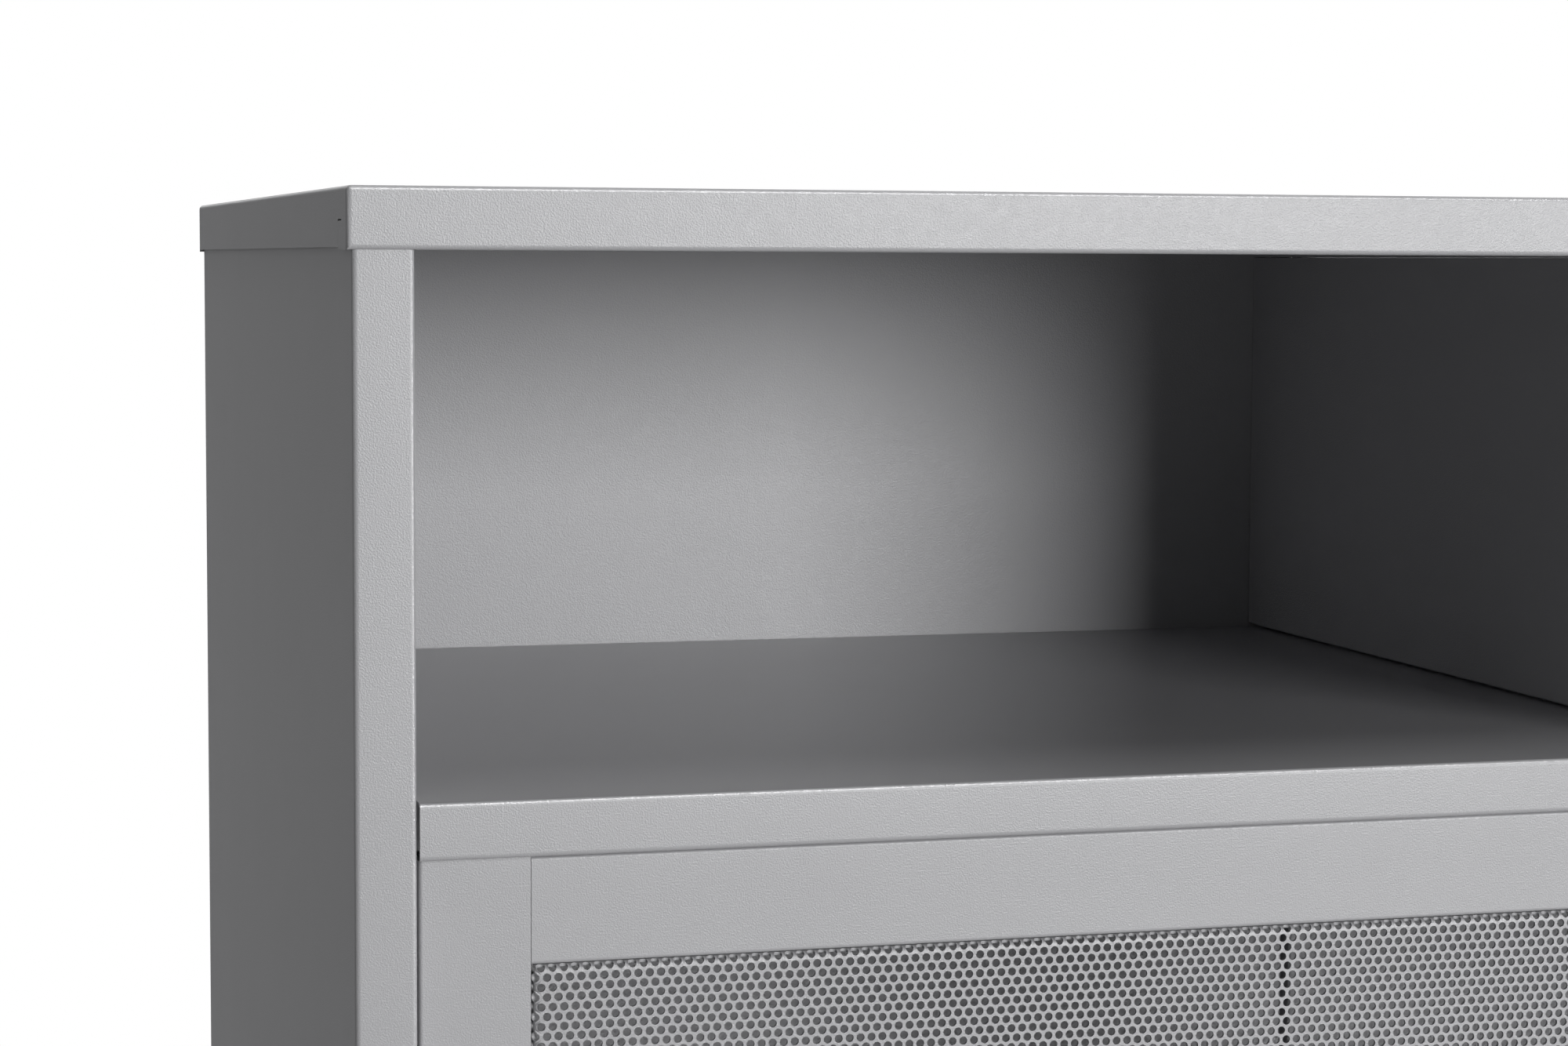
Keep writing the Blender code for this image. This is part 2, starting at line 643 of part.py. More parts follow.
def build_plugs_and_pins(prefix, side):
    """Plugs that close the stiles' ends, bored on the hinge side for the pins that the door turns on."""
    wall = SHEET + SEAT
    y = (DOOR_FRONT + wall, DOOR_REAR - wall)
    made = []
    for where, end, up in (("top", DOOR_TOP, 1), ("bottom", DOOR_BOTTOM, -1)):
        z = sorted((end, end - up * PLUG_LENGTH))
        hinge_x = span(side, WINDOW_OUTER + wall, DOOR_OUTER - wall)
        hinge_plug = block(f"{prefix}_hinge_plug_{where}", hinge_x, y, z, "black_plastic", PLUG_ROUND)
        cut_round(hinge_plug, "bore", (side * PIVOT_X, PIVOT_Y, end), PIN_BORE, PLUG_LENGTH + SHEET)
        free_x = span(side, DOOR_INNER + wall, WINDOW_INNER - wall)
        made.append(block(f"{prefix}_end_plug_{where}", free_x, y, z, "black_plastic", PLUG_ROUND))
        profile = [
            (0.0, -PLUG_LENGTH),
            (PIN_RADIUS, -PLUG_LENGTH),
            (PIN_RADIUS, PIN_REACH - PIN_CHAMFER),
            (PIN_RADIUS - PIN_CHAMFER, PIN_REACH),
            (0.0, PIN_REACH),
        ]
        pin = turned(f"{prefix}_pin_{where}", profile, "zinc_steel", sides=SMALL_ROUND_SIDES)
        flip = (0.0, 0.0, 0.0) if up > 0 else (math.pi, 0.0, 0.0)
        made += [hinge_plug, place(pin, (side * PIVOT_X, PIVOT_Y, end), flip)]
    return made


def build_pull(prefix, side, stile):
    """A turned knob on the free stile, held by a screw from behind."""
    x = side * (DOOR_INNER + WINDOW_INNER) / 2
    z = DOOR_BOTTOM + KNOB_FROM_BOTTOM
    shoulder = KNOB_NECK_LENGTH + KNOB_FLARE
    profile = [
        (0.0, KNOB_BORE_DEPTH),
        (SCREW_BORE, KNOB_BORE_DEPTH),
        (SCREW_BORE, 0.0),
        (KNOB_NECK, 0.0),
        (KNOB_NECK, KNOB_NECK_LENGTH),
        (KNOB_RADIUS - KNOB_EDGE, shoulder),
        (KNOB_RADIUS, shoulder + KNOB_EDGE),
        (KNOB_RADIUS, KNOB_LENGTH - KNOB_EDGE),
        (KNOB_RADIUS - KNOB_EDGE, KNOB_LENGTH),
        (0.0, KNOB_LENGTH),
    ]
    towards_front = (math.pi / 2, 0.0, 0.0)
    knob = turned(f"{prefix}_knob", profile, "powder_coat")
    place(knob, (x, DOOR_FRONT - SEAT, z), towards_front)
    screw = build_screw(f"{prefix}_knob_screw", KNOB_BORE_DEPTH)
    place(screw, (x, DOOR_FRONT + SHEET + SEAT, z), towards_front)
    cut_screw_hole(stile, "knob", (x, DOOR_FRONT, z), across=True)
    return [knob, screw]


def build_strike(prefix, side):
    wide, thick, tall = STRIKE
    x = span(side, DOOR_INNER, DOOR_INNER + wide)
    top = DOOR_TOP - STRIKE_DROP
    front = DOOR_REAR + SEAT
    return block(f"{prefix}_strike", x, (front, front + thick), (top - tall, top), "zinc_steel", SEAT)


def build_door(side):
    prefix = f"door_{side_name(side)}"
    pivot = bpy.data.objects.new(f"{prefix}_pivot", None)
    pivot.location = Vector((side * PIVOT_X, PIVOT_Y, DOOR_BOTTOM)) * MM
    bpy.context.scene.collection.objects.link(pivot)
    free_stile = build_stile(f"{prefix}_free_stile", side, DOOR_INNER, WINDOW_INNER)
    pieces = [
        build_stile(f"{prefix}_hinge_stile", side, DOOR_OUTER, WINDOW_OUTER),
        free_stile,
        build_rail(f"{prefix}_top_rail", side, DOOR_TOP, WINDOW_TOP),
        build_rail(f"{prefix}_bottom_rail", side, DOOR_BOTTOM, WINDOW_BOTTOM),
        build_mesh_sheet(f"{prefix}_mesh_sheet", side),
        build_strike(prefix, side),
    ]
    pieces += build_plugs_and_pins(prefix, side)
    pieces += build_pull(prefix, side, free_stile)
    for piece in pieces:
        hang(piece, pivot)


def build_cabinet():
    clear_scene()
    build_lid()
    build_lid_stringer()
    build_trays()
    build_partition()
    build_backs()
    build_inner_shelf()
    for side in (-1, 1):
        build_side(side)
        build_wall_bracket(side)
        build_catch(side)
        build_bushes(side)
        build_door(side)


build_cabinet()
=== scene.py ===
"""Looks of a wall cabinet of folded, powder-coated sheet steel with two perforated doors.

Lengths are millimetres here and metres in Blender. X runs to the right, Y into the wall, Z up.
"""

import json
import math
from collections import namedtuple

import bpy
import numpy as np
from mathutils import Matrix, Vector


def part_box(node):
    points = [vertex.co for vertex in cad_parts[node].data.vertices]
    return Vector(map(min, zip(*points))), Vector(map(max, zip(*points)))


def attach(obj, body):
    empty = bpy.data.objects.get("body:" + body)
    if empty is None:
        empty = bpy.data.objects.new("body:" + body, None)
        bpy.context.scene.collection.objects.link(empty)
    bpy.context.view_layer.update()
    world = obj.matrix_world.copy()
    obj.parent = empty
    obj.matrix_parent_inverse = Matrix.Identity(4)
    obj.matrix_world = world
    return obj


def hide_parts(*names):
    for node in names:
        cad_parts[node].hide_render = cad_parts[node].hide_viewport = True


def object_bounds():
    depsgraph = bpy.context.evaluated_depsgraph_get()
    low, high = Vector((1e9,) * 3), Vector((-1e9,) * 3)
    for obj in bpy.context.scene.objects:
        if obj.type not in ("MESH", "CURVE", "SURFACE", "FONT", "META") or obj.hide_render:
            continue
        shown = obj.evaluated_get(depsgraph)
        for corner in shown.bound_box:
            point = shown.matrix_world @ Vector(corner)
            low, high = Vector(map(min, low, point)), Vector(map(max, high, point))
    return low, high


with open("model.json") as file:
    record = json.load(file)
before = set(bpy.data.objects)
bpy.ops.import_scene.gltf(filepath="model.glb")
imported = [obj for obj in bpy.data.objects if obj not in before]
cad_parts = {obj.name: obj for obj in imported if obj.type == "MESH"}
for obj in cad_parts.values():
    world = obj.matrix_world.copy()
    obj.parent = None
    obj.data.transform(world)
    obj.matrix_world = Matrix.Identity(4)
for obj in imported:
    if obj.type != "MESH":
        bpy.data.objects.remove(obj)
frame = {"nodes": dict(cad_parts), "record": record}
CAD_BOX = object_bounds()

# Kinds of settings: a noisy value, a bumpy surface and a lamp
Mottle = namedtuple("Mottle", "size low high")
Grain = namedtuple("Grain", "size height")
Lamp = namedtuple("Lamp", "at to size power mirrored lights", defaults=(True, True))

MM = 0.001
DOORS = ("door_left", "door_right")

# Camera
FRAME_WIDTH = 2000.0
FOCAL_PIXELS = 4296.8
SENSOR = 36.0
CAMERA_AT = (-527.3, -1185.2, 31.6)
CAMERA_YAW = 15.726
CAMERA_PITCH = 4.441
CAMERA_ROLL = 0.263

# Perforated sheets of the doors, in which each hole sits in a six-sided cell
CELL_SIDES = 6
HOLE_SIDES = 2 * CELL_SIDES
HOLE_PITCH = 3.034
ROW_STEP = 2.58
HOLE_RADIUS = 1.13
HOLE_MARGIN = 0.15
FIRST_HOLE = 2.1
FIRST_ROW = 0.64
CORNER_NOTCH = 1.15
SHEET = 0.8
SHEET_BEND = 1.8
TRAY_CLEARANCE = np.array((0.6, 0.0, 0.4))
BANDS = 6

# Map of a perforated sheet for baking
BAKE_MAP = "OFBake"
FRONT_HALF = 0
BACK_HALF = 1
WALL_ON_MAP = 0.6
EDGE_ON_MAP = 0.5

# Exactness of the meshes
DECIMALS = 3
TINY = 1e-6
WELD = 0.001

# Shading of folds and rounds
SHARP_ANGLE = 35.0
FLAT_WEIGHT = 100

# Noise and slope, as the materials use them
NOISE_LOW = 0.25
NOISE_HIGH = 0.75
NOISE_MIDDLE = 0.5
FACING_FROM = 0.6

# Powder coat
COAT_COLOUR = (0.365, 0.365, 0.377)
COAT_SHADE = Mottle(size=45.0, low=0.985, high=1.015)
COAT_SPECULAR = 0.42
COAT_ROUGHNESS = Mottle(size=3.0, low=0.32, high=0.38)
SIDE_ROUGHNESS = 0.73
SHELF_ROUGHNESS = 0.3
LID_ROUGHNESS = 0.6
FOLD_ROUGHNESS = 0.2
COAT_GRAIN = Grain(size=0.46, height=0.105)

# Floor and world
FLOOR_COLOUR = (0.8, 0.8, 0.8)
FLOOR_SHADE = Mottle(size=60.0, low=0.99, high=1.01)
FLOOR_ROUGHNESS = 0.8
FLOOR_BOUNCE = 0.35
FLOOR_SIDE = 8000.0
FLOOR_GLOW = 0.55
FLOOR_NEAR = 500.0
FLOOR_FAR = 1300.0
WHITE = (1.0, 1.0, 1.0, 1.0)
AMBIENT = 0.003

# Lamps: a soft key from the front right, two for the sheen of the folds, and fills above and behind
LAMPS = {
    "key": Lamp(
        at=(980, -3440, 350),
        to=(-100, -9, -60),
        size=(1300, 920),
        power=97.0,
    ),
    "above": Lamp(
        at=(0, -800, 1900),
        to=(0, -250, 0),
        size=(1400, 700),
        power=8.0,
    ),
    "sheen above": Lamp(
        at=(0, -1300, 1300),
        to=(0, -350, -100),
        size=(1600, 500),
        power=72.0,
        lights=False,
    ),
    "sheen right": Lamp(
        at=(1900, -1400, -100),
        to=(0, -200, -200),
        size=(300, 1200),
        power=70.0,
        lights=False,
    ),
    "above rear": Lamp(
        at=(0, 500, 1800),
        to=(0, -150, 50),
        size=(1400, 700),
        power=14.0,
        mirrored=False,
    ),
    "behind": Lamp(
        at=(-300, 2200, 300),
        to=(0, 0, -300),
        size=(1600, 1200),
        power=36.0,
        mirrored=False,
    ),
    "behind right": Lamp(
        at=(2200, 700, 400),
        to=(405, -180, -300),
        size=(900, 900),
        power=22.0,
        mirrored=False,
    ),
}


def mm(*values):
    """Millimetres as a vector in metres."""
    return Vector(values) * MM


def node_of(tree, kind, **inputs):
    """A shader node with the named inputs set."""
    node = tree.nodes.new(kind)
    for name, value in inputs.items():
        node.inputs[name.replace("_", " ")].default_value = value
    return node


def maths(tree, operation, *values):
    """The result of an operation on sockets or plain numbers."""
    node = tree.nodes.new("ShaderNodeMath")
    node.operation = operation
    for socket, value in zip(node.inputs, values):
        if isinstance(value, bpy.types.NodeSocket):
            tree.links.new(value, socket)
        else:
            socket.default_value = value
    return node.outputs["Value"]


def new_material(name):
    """An empty material with a Principled shader joined to its output."""
    material = bpy.data.materials.new(name)
    material.use_nodes = True
    tree = material.node_tree
    return material, tree, tree.nodes["Principled BSDF"]


def noise(tree, size):
    """Noise in the object's own space whose features are about size millimetres."""
    place = tree.nodes.new("ShaderNodeTexCoord")
    texture = node_of(tree, "ShaderNodeTexNoise", Scale=1 / (size * MM), Detail=2.0)
    tree.links.new(place.outputs["Object"], texture.inputs["Vector"])
    return texture.outputs["Fac"]


def mottled(tree, mottle):
    """A noise, of which the middle half counts, stretched to run from low to high."""
    spread = node_of(
        tree,
        "ShaderNodeMapRange",
        From_Min=NOISE_LOW,
        From_Max=NOISE_HIGH,
        To_Min=mottle.low,
        To_Max=mottle.high,
    )
    tree.links.new(noise(tree, mottle.size), spread.inputs["Value"])
    return spread.outputs["Result"]


def tinted(tree, colour, amount):
    """A colour multiplied by a grey value."""
    mix = tree.nodes.new("ShaderNodeVectorMath")
    mix.operation = "SCALE"
    mix.inputs[0].default_value = colour
    tree.links.new(amount, mix.inputs["Scale"])
    return mix.outputs["Vector"]


def bump(tree, height, depth):
    """A normal from a height of 0 to 1 that stands for depth millimetres."""
    node = node_of(tree, "ShaderNodeBump", Strength=1.0, Distance=depth * MM)
    tree.links.new(height, node.inputs["Height"])
    return node.outputs["Normal"]


def blended(tree, share, value, other):
    """A value that gives way to a constant by a share."""
    mix = tree.nodes.new("ShaderNodeMix")
    tree.links.new(share, mix.inputs["Factor"])
    tree.links.new(value, mix.inputs["A"])
    mix.inputs["B"].default_value = other
    return mix.outputs["Result"]


def mixed(tree, share, first, second):
    """A shader that gives way to a second one by a share."""
    mix = tree.nodes.new("ShaderNodeMixShader")
    for socket, value in zip(mix.inputs, (share, first, second)):
        tree.links.new(value, socket)
    return mix.outputs["Shader"]


def facing(tree, axis):
    """How squarely a face of the object looks up or down the axis: 0 to 1."""
    place = tree.nodes.new("ShaderNodeTexCoord")
    split = tree.nodes.new("ShaderNodeSeparateXYZ")
    tree.links.new(place.outputs["Normal"], split.inputs["Vector"])
    rise = node_of(tree, "ShaderNodeMapRange", From_Min=FACING_FROM, From_Max=1.0)
    rise.interpolation_type = "SMOOTHSTEP"
    tree.links.new(maths(tree, "ABSOLUTE", split.outputs[axis]), rise.inputs["Value"])
    return rise.outputs["Result"]


def slanting(tree):
    """How far a face looks between the axes, as in the middle of a fold: 0 to 1."""
    away = [maths(tree, "SUBTRACT", 1.0, facing(tree, axis)) for axis in "XYZ"]
    return maths(tree, "MULTIPLY", maths(tree, "MULTIPLY", away[0], away[1]), away[2])


def powder_coat(name, level_roughness):
    """Grey powder coat with a fine orange-peel grain.

    The sides are duller than the front, the folds shine most, and level faces are as rough as given.
    """
    material, tree, shader = new_material(name)
    shade = mottled(tree, COAT_SHADE)
    tree.links.new(tinted(tree, COAT_COLOUR, shade), shader.inputs["Base Color"])
    shader.inputs["Specular IOR Level"].default_value = COAT_SPECULAR
    level = facing(tree, "Z")
    front = mottled(tree, COAT_ROUGHNESS)
    side = blended(tree, facing(tree, "X"), front, SIDE_ROUGHNESS)
    flat = blended(tree, level, side, level_roughness)
    roughness = blended(tree, slanting(tree), flat, FOLD_ROUGHNESS)
    tree.links.new(roughness, shader.inputs["Roughness"])
    height = blended(tree, level, noise(tree, COAT_GRAIN.size), NOISE_MIDDLE)
    tree.links.new(bump(tree, height, COAT_GRAIN.height), shader.inputs["Normal"])
    return material


def fitting_material(name, colour, metallic, shade, roughness, grain):
    """A material for fittings, with mottled shade and roughness and a fine grain."""
    material, tree, shader = new_material(name)
    shader.inputs["Metallic"].default_value = metallic
    tree.links.new(tinted(tree, colour, mottled(tree, shade)), shader.inputs["Base Color"])
    tree.links.new(mottled(tree, roughness), shader.inputs["Roughness"])
    height = noise(tree, grain.size)
    tree.links.new(bump(tree, height, grain.height), shader.inputs["Normal"])
    return material


def zinc_steel():
    """Zinc-plated steel: cool metal with a cloudy sheen and fine rolling marks."""
    return fitting_material(
        "zinc_steel",
        colour=(0.62, 0.63, 0.65),
        metallic=1.0,
        shade=Mottle(size=2.0, low=0.9, high=1.08),
        roughness=Mottle(size=5.0, low=0.28, high=0.42),
        grain=Grain(size=0.3, height=0.004),
    )


def nylon():
    """Milky nylon with a faint moulded grain."""
    return fitting_material(
        "nylon",
        colour=(0.72, 0.7, 0.64),
        metallic=0.0,
        shade=Mottle(size=4.0, low=0.95, high=1.04),
        roughness=Mottle(size=1.5, low=0.45, high=0.55),
        grain=Grain(size=0.5, height=0.006),
    )


def black_plastic():
    """Black plastic with a spark-eroded grain."""
    return fitting_material(
        "black_plastic",
        colour=(0.022, 0.022, 0.023),
        metallic=0.0,
        shade=Mottle(size=3.0, low=0.85, high=1.15),
        roughness=Mottle(size=1.0, low=0.4, high=0.55),
        grain=Grain(size=0.4, height=0.015),
    )


def magnet():
    """Sintered magnet: dark, dull and slightly mottled."""
    return fitting_material(
        "magnet",
        colour=(0.1, 0.1, 0.105),
        metallic=0.6,
        shade=Mottle(size=1.2, low=0.75, high=1.2),
        roughness=Mottle(size=0.8, low=0.45, high=0.65),
        grain=Grain(size=0.5, height=0.01),
    )


LID_COAT = powder_coat("powder_coat_lid", LID_ROUGHNESS)
MATERIALS = {
    "powder_coat": powder_coat("powder_coat", SHELF_ROUGHNESS),
    "zinc_steel": zinc_steel(),
    "nylon": nylon(),
    "black_plastic": black_plastic(),
    "magnet": magnet(),
}


def paint_nodes():
    """Gives each CAD node the procedural material of its slot, and the lid a duller coat."""
    for row in frame["record"]["subparts"]:
        node = frame["nodes"][row["node"]]
        node.data.materials[0] = MATERIALS[row["material_slot"]]
    frame["nodes"]["top_lid"].data.materials[0] = LID_COAT


def smooth_nodes():
    """Shades the folds and turned faces of the CAD nodes as rounds and leaves their vertices alone."""
    for node in frame["nodes"].values():
        node.data.attributes.remove(node.data.attributes["custom_normal"])
        node.data.shade_smooth()
        weld = node.modifiers.new("Weld", "WELD")
        weld.merge_threshold = WELD * MM
        split = node.modifiers.new("Sharp", "EDGE_SPLIT")
        split.split_angle = math.radians(SHARP_ANGLE)
        flat = node.modifiers.new("Flat", "WEIGHTED_NORMAL")
        flat.mode = "FACE_AREA"
        flat.weight = FLAT_WEIGHT


def hexagon():
    """Corners of the cell round one hole, from the upper right one anticlockwise."""
    half = HOLE_PITCH / 2
    low = (ROW_STEP**2 - half**2) / (2 * ROW_STEP)
    high = ROW_STEP - low
    right = [(half, -low), (half, low)]
    left = [(-half, low), (-half, -low)]
    return np.array([right[1], (0, high), *left, (0, -high), right[0]])


class Tray:
    """A door's perforated sheet, laid out flat: s runs from the hinge edge, t down from the top edge."""

    def __init__(self, node):
        low, high = (np.array(corner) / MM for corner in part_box(node))
        low += TRAY_CLEARANCE
        high -= TRAY_CLEARANCE
        self.top = high[2]
        self.face = low[1]
        self.sign = 1 if low[0] < 0 else -1
        self.edge = low[0] if self.sign > 0 else high[0]
        self.width = high[0] - low[0]
        self.height = high[2] - low[2]
        self.middle_radius = SHEET_BEND - SHEET / 2
        straight = high[1] - low[1] - SHEET_BEND
        self.reach = self.middle_radius * math.pi / 2 + straight

    def overhang(self, points):
        """How far flat points lie beyond the bend lines, across and down, with the side they lie on."""
        lines = ((SHEET_BEND, self.width - SHEET_BEND), (SHEET_BEND, self.height - SHEET_BEND))
        beyond = np.zeros_like(points)
        side = np.zeros_like(points)
        for axis, (first, last) in enumerate(lines):
            before = first - points[:, axis]
            after = points[:, axis] - last
            beyond[:, axis] = np.maximum(np.maximum(before, after), 0)
            side[:, axis] = np.where(before > 0, -1, np.where(after > 0, 1, 0))
        return beyond, side

    def folded(self, points, depth):
        """Flat points at a depth below the outer face, in their place on the folded tray."""
        beyond, side = self.overhang(points)
        angle = np.minimum(beyond / self.middle_radius, math.pi / 2)
        straight = np.maximum(beyond - self.middle_radius * math.pi / 2, 0)
        radius = SHEET_BEND - depth
        flat = points - side * beyond
        moved = flat + side * radius * np.sin(angle)
        sunk = SHEET_BEND - radius * np.cos(angle) + straight
        back = np.where(beyond > 0, sunk, depth).max(axis=1)
        return np.c_[self.edge + self.sign * moved[:, 0], self.face + back, self.top - moved[:, 1]]


def cell_centres(tray):
    """Centres of all cells of the flat blank, which has no corners, and their rows."""
    top = math.floor(-tray.reach / ROW_STEP)
    bottom = math.ceil((tray.height + tray.reach) / ROW_STEP)
    near = math.floor(-tray.reach / HOLE_PITCH) - 1
    far = math.ceil((tray.width + tray.reach) / HOLE_PITCH)
    rows = np.arange(top, bottom + 1)
    columns = np.arange(near, far + 1)
    row, column = (grid.ravel() for grid in np.meshgrid(rows, columns, indexing="ij"))
    across = FIRST_HOLE + HOLE_PITCH * (column - 0.5 * (row % 2))
    centres = np.c_[across, FIRST_ROW + ROW_STEP * row]
    beyond, _ = tray.overhang(centres)
    kept = (beyond.max(axis=1) < tray.reach) & (beyond.min(axis=1) <= CORNER_NOTCH)
    return centres[kept], row[kept]


def straightened(tray, corners, free):
    """Cell corners with the free ones moved out or in to the blank's straight edges."""
    beyond, side = tray.overhang(corners)
    moved = corners.copy()
    notch = free & (beyond.min(axis=1) > CORNER_NOTCH)
    for axis in (0, 1):
        past = beyond[:, axis]
        past_other = beyond[:, 1 - axis]
        outer = free & (past > tray.reach - HOLE_PITCH) & (past >= past_other)
        moved[outer, axis] += side[outer, axis] * (tray.reach - past[outer])
        nearer = notch & (past <= past_other)
        moved[nearer, axis] -= side[nearer, axis] * (past[nearer] - CORNER_NOTCH)
    return moved


def room_in_cells(centres, outlines):
    """How far each cell's centre lies from the nearest of the cell's sides."""
    ahead = np.roll(outlines, -1, axis=1) - outlines
    to_centre = centres[:, None, :] - outlines
    cross = ahead[..., 0] * to_centre[..., 1] - ahead[..., 1] * to_centre[..., 0]
    length = np.linalg.norm(ahead, axis=2)
    distance = cross / np.maximum(length, TINY)
    return np.where(length > TINY, distance, np.inf).min(axis=1)


def blank(tray):
    """The flat blank: cell centres, rows, which cells have a hole, shared corners, each cell's corners."""
    centres, rows = cell_centres(tray)
    every = (centres[:, None, :] + hexagon()[None]).reshape(-1, 2)
    _, first, cells = np.unique(every.round(DECIMALS), axis=0, return_index=True, return_inverse=True)
    corners = every[first]
    cells = cells.reshape(-1, CELL_SIDES)
    uses = np.bincount(cells.ravel(), minlength=len(corners))
    corners = straightened(tray, corners, uses < 3)
    holed = room_in_cells(centres, corners[cells]) > HOLE_RADIUS + HOLE_MARGIN
    return centres, rows, holed, corners, cells


def hole_rings(centres, radius):
    """Points round each centre, one ring after another."""
    turns = 2 * math.pi / HOLE_SIDES * np.arange(HOLE_SIDES)
    circle = radius * np.c_[np.cos(turns), np.sin(turns)]
    return (centres[:, None, :] + circle).reshape(-1, 2)


def face_triangles(cells, rings):
    """Triangles between the corners of each holed cell and the ring of its hole."""
    faces = []
    for corner in range(CELL_SIDES):
        start, end = cells[:, corner], cells[:, (corner + 1) % CELL_SIDES]
        a, b, c = (rings[:, (2 * corner + step) % HOLE_SIDES] for step in (1, 2, 3))
        faces += [np.c_[start, b, a], np.c_[start, end, b], np.c_[end, c, b]]
    return np.concatenate(faces)


def outer_edges(cells, count):
    """The cell edges that no other cell shares, each in its own cell's direction."""
    edges = np.c_[cells.ravel(), np.roll(cells, -1, axis=1).ravel()]
    key = edges[:, 0] * count + edges[:, 1]
    back_key = edges[:, 1] * count + edges[:, 0]
    return edges[~np.isin(key, back_key)]


def outward_steps(start, end):
    """A short step away from the cell for each of its edges."""
    ahead = end - start
    outward = np.c_[ahead[:, 1], -ahead[:, 0]]
    length = np.linalg.norm(outward, axis=1)
    return outward * (EDGE_ON_MAP / np.maximum(length, TINY))[:, None]


def band_faces(flat, shrunk, cells, holed, rings):
    """Groups of faces of one band: their point numbers, their places on the map and its half.

    The points of the back follow those of the front. On the map the wall of a hole lies inside the
    hole, and the wall along an edge lies outside that edge.
    """
    back = len(flat)
    front = face_triangles(cells[holed], rings)
    plain = cells[~holed]
    a, b = rings.ravel(), np.roll(rings, -1, axis=1).ravel()
    hole_walls = np.c_[a, b, b + back, a + back]
    hole_places = np.stack([flat[a], flat[b], shrunk[b], shrunk[a]], axis=1)
    start, end = outer_edges(cells, back).T
    step = outward_steps(flat[start], flat[end])
    edge_walls = np.c_[end, start, start + back, end + back]
    edge_places = np.stack([flat[end], flat[start], flat[start] + step, flat[end] + step], axis=1)
    return [
        (front, flat[front], FRONT_HALF),
        (plain, flat[plain], FRONT_HALF),
        (front[:, ::-1] + back, flat[front[:, ::-1]], BACK_HALF),
        (plain[:, ::-1] + back, flat[plain[:, ::-1]], BACK_HALF),
        (hole_walls, hole_places, FRONT_HALF),
        (edge_walls, edge_places, FRONT_HALF),
    ]


def band_mesh(name, tray, centres, holed, corners, cells):
    """One band of the sheet as a closed mesh: both faces, the hole walls and the edges, with its map.

    On the map the front face fills the lower half and the back face the upper one.
    """
    used, cells = np.unique(cells, return_inverse=True)
    cells = cells.reshape(-1, CELL_SIDES)
    corners = corners[used]
    flat = np.r_[corners, hole_rings(centres[holed], HOLE_RADIUS)]
    shrunk = np.r_[corners, hole_rings(centres[holed], HOLE_RADIUS * WALL_ON_MAP)]
    rings = np.arange(len(corners), len(flat)).reshape(-1, HOLE_SIDES)
    low = flat.min(axis=0) - 2 * EDGE_ON_MAP
    size = flat.max(axis=0) + 2 * EDGE_ON_MAP - low
    turn = -1 if tray.sign > 0 else 1
    polygons = []
    spots = []
    for faces, places, half in band_faces(flat, shrunk, cells, holed, rings):
        polygons += faces[:, ::turn].tolist()
        spot = (places[:, ::turn].reshape(-1, 2) - low) / size
        spots.append((spot + (0, half)) * (1, 0.5))
    points = np.r_[tray.folded(flat, 0.0), tray.folded(flat, SHEET)] * MM
    mesh = bpy.data.meshes.new(name)
    mesh.from_pydata(points.tolist(), [], polygons)
    layer = mesh.uv_layers.new(name=BAKE_MAP)
    layer.uv.foreach_set("vector", np.concatenate(spots).ravel())
    return mesh


def perforated_sheet(door):
    """A door's perforated sheet, in bands that ride on the door."""
    node = f"{door}_mesh_sheet"
    tray = Tray(node)
    centres, rows, holed, corners, cells = blank(tray)
    shares = np.array_split(np.unique(rows), BANDS)
    for number, share in enumerate(shares, start=1):
        here = np.isin(rows, share)
        name = f"{door}_perforation_{number}"
        mesh = band_mesh(name, tray, centres[here], holed[here], corners, cells[here])
        mesh.materials.append(MATERIALS["powder_coat"])
        mesh.shade_smooth()
        mesh.set_sharp_from_angle(angle=math.radians(SHARP_ANGLE))
        band = bpy.data.objects.new(name, mesh)
        bpy.context.scene.collection.objects.link(band)
        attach(band, door)
        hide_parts(node)


def seen_rays(tree):
    """1 for rays from the camera, from a mirroring surface or through glass, and 0 for the rest."""
    path = tree.nodes.new("ShaderNodeLightPath")
    seen = path.outputs["Is Camera Ray"]
    for ray in ("Is Glossy Ray", "Is Transmission Ray"):
        seen = maths(tree, "MAXIMUM", seen, path.outputs[ray])
    return seen


def floor_fade(tree):
    """How white the floor is: partly near its middle, wholly further off."""
    place = tree.nodes.new("ShaderNodeTexCoord")
    distance = tree.nodes.new("ShaderNodeVectorMath")
    distance.operation = "LENGTH"
    tree.links.new(place.outputs["Object"], distance.inputs[0])
    fade = node_of(
        tree,
        "ShaderNodeMapRange",
        From_Min=FLOOR_NEAR * MM,
        From_Max=FLOOR_FAR * MM,
        To_Min=FLOOR_GLOW,
    )
    fade.interpolation_type = "SMOOTHSTEP"
    tree.links.new(distance.outputs["Value"], fade.inputs["Value"])
    return fade.outputs["Result"]


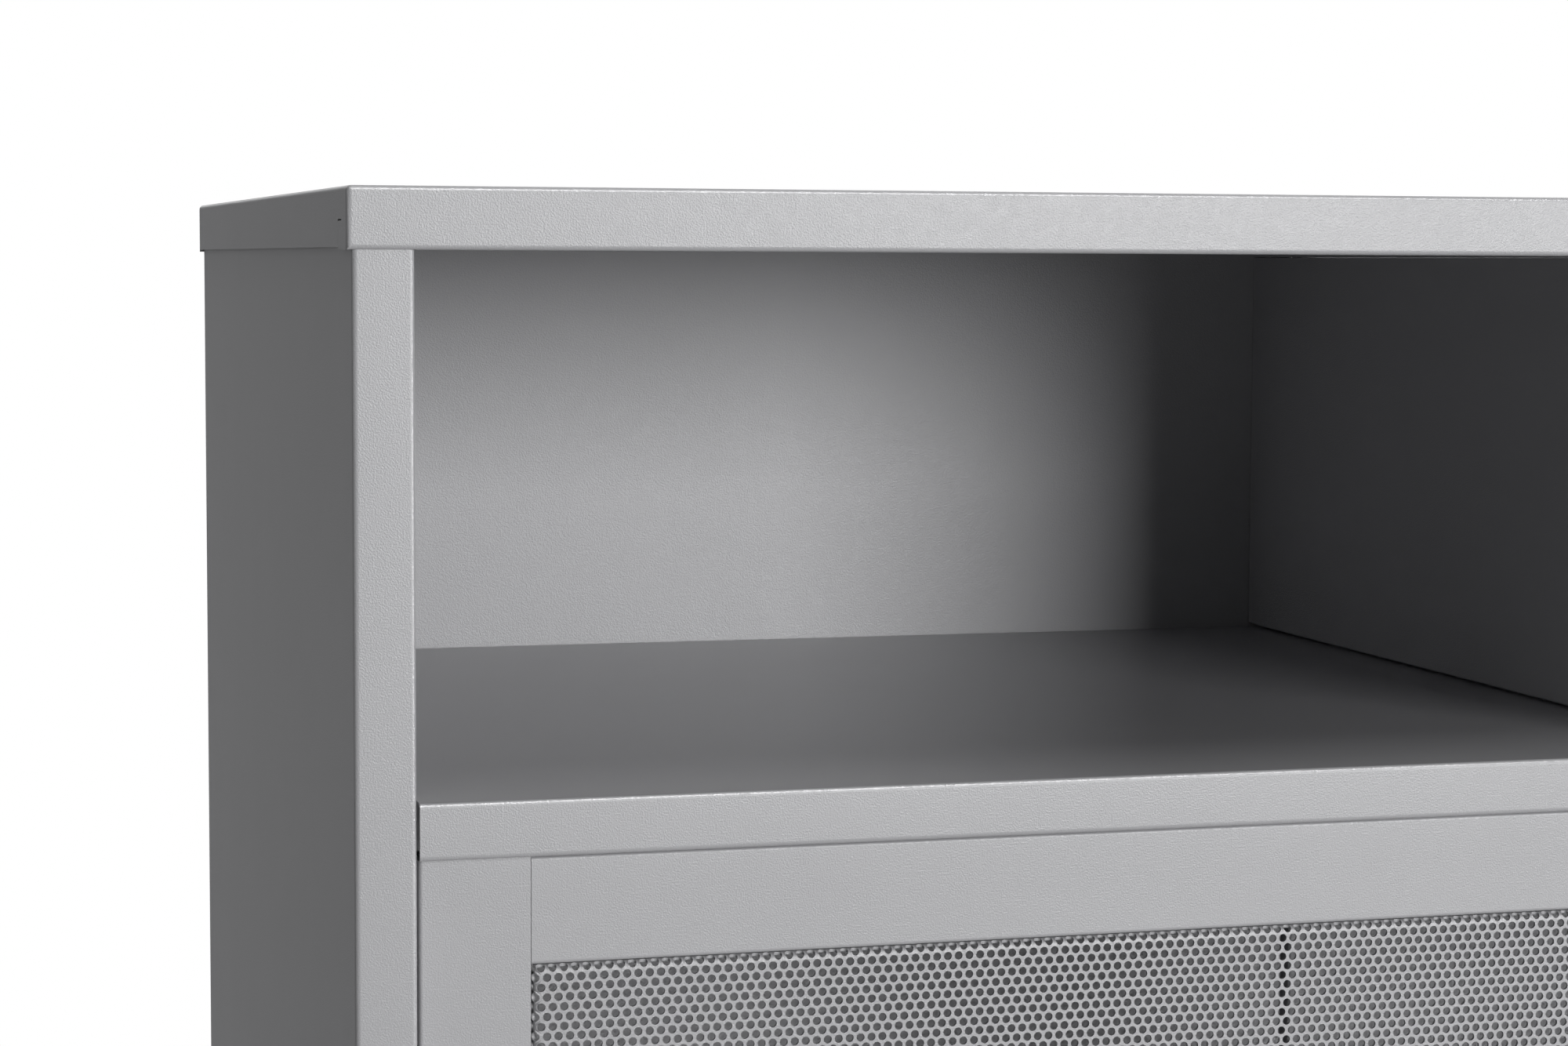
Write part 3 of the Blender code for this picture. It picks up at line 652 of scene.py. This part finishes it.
def floor_material():
    """Pale floor that keeps the shadow near the cabinet and can't be seen from below.

    Where it isn't seen directly or mirrored it is darker, so that it throws little light back.
    """
    material, tree, shader = new_material("pale_floor")
    seen = seen_rays(tree)
    bounce = node_of(tree, "ShaderNodeMapRange", To_Min=FLOOR_BOUNCE)
    tree.links.new(seen, bounce.inputs["Value"])
    shade = maths(tree, "MULTIPLY", mottled(tree, FLOOR_SHADE), bounce.outputs["Result"])
    tree.links.new(tinted(tree, FLOOR_COLOUR, shade), shader.inputs["Base Color"])
    shader.inputs["Roughness"].default_value = FLOOR_ROUGHNESS
    white = node_of(tree, "ShaderNodeEmission", Strength=1.0)
    share = maths(tree, "MULTIPLY", seen, floor_fade(tree))
    upper = mixed(tree, share, shader.outputs["BSDF"], white.outputs["Emission"])
    geometry = tree.nodes.new("ShaderNodeNewGeometry")
    clear = tree.nodes.new("ShaderNodeBsdfTransparent")
    sided = mixed(tree, geometry.outputs["Backfacing"], upper, clear.outputs["BSDF"])
    tree.links.new(sided, tree.nodes["Material Output"].inputs["Surface"])
    return material


def build_floor():
    """A pale floor under the cabinet."""
    half = FLOOR_SIDE / 2 * MM
    corners = [(-half, -half, 0), (half, -half, 0), (half, half, 0), (-half, half, 0)]
    mesh = bpy.data.meshes.new("floor")
    mesh.from_pydata(corners, [], [(0, 1, 2, 3)])
    mesh.materials.append(floor_material())
    floor = bpy.data.objects.new("floor", mesh)
    low, high = CAD_BOX
    floor.location = ((low.x + high.x) / 2, (low.y + high.y) / 2, low.z)
    bpy.context.scene.collection.objects.link(floor)


def build_lamp(name, lamp):
    """A rectangular soft light that may serve the sheen alone, or all but the sheen."""
    data = bpy.data.lights.new(name, "AREA")
    data.shape = "RECTANGLE"
    data.size, data.size_y = (side * MM for side in lamp.size)
    data.energy = lamp.power
    light = bpy.data.objects.new(name, data)
    light.location = mm(*lamp.at)
    light.rotation_euler = (mm(*lamp.to) - mm(*lamp.at)).to_track_quat("-Z", "Y").to_euler()
    light.visible_glossy = lamp.mirrored
    light.visible_diffuse = lamp.lights
    bpy.context.scene.collection.objects.link(light)


def build_world():
    """White where it is seen directly or mirrored, dim as a light."""
    world = bpy.data.worlds.new("studio")
    bpy.context.scene.world = world
    world.use_nodes = True
    tree = world.node_tree
    dim = tree.nodes["Background"]
    dim.inputs["Color"].default_value = WHITE
    dim.inputs["Strength"].default_value = AMBIENT
    white = node_of(tree, "ShaderNodeBackground", Color=WHITE, Strength=1.0)
    sky = mixed(tree, seen_rays(tree), dim.outputs["Background"], white.outputs["Background"])
    tree.links.new(sky, tree.nodes["World Output"].inputs["Surface"])


def build_camera():
    """The camera at the photograph's viewpoint."""
    data = bpy.data.cameras.new("camera")
    data.sensor_fit = "HORIZONTAL"
    data.sensor_width = SENSOR
    data.lens = SENSOR * FOCAL_PIXELS / FRAME_WIDTH
    camera = bpy.data.objects.new("camera", data)
    yaw = Matrix.Rotation(math.radians(-CAMERA_YAW), 4, "Z")
    pitch = Matrix.Rotation(math.radians(90 - CAMERA_PITCH), 4, "X")
    roll = Matrix.Rotation(math.radians(CAMERA_ROLL), 4, "Z")
    camera.matrix_world = Matrix.Translation(mm(*CAMERA_AT)) @ yaw @ pitch @ roll
    bpy.context.scene.collection.objects.link(camera)
    bpy.context.scene.camera = camera


paint_nodes()
smooth_nodes()
for door in DOORS:
    perforated_sheet(door)
build_floor()
for name, lamp in LAMPS.items():
    build_lamp(name, lamp)
build_world()
build_camera()
bpy.context.scene.view_settings.view_transform = "Standard"
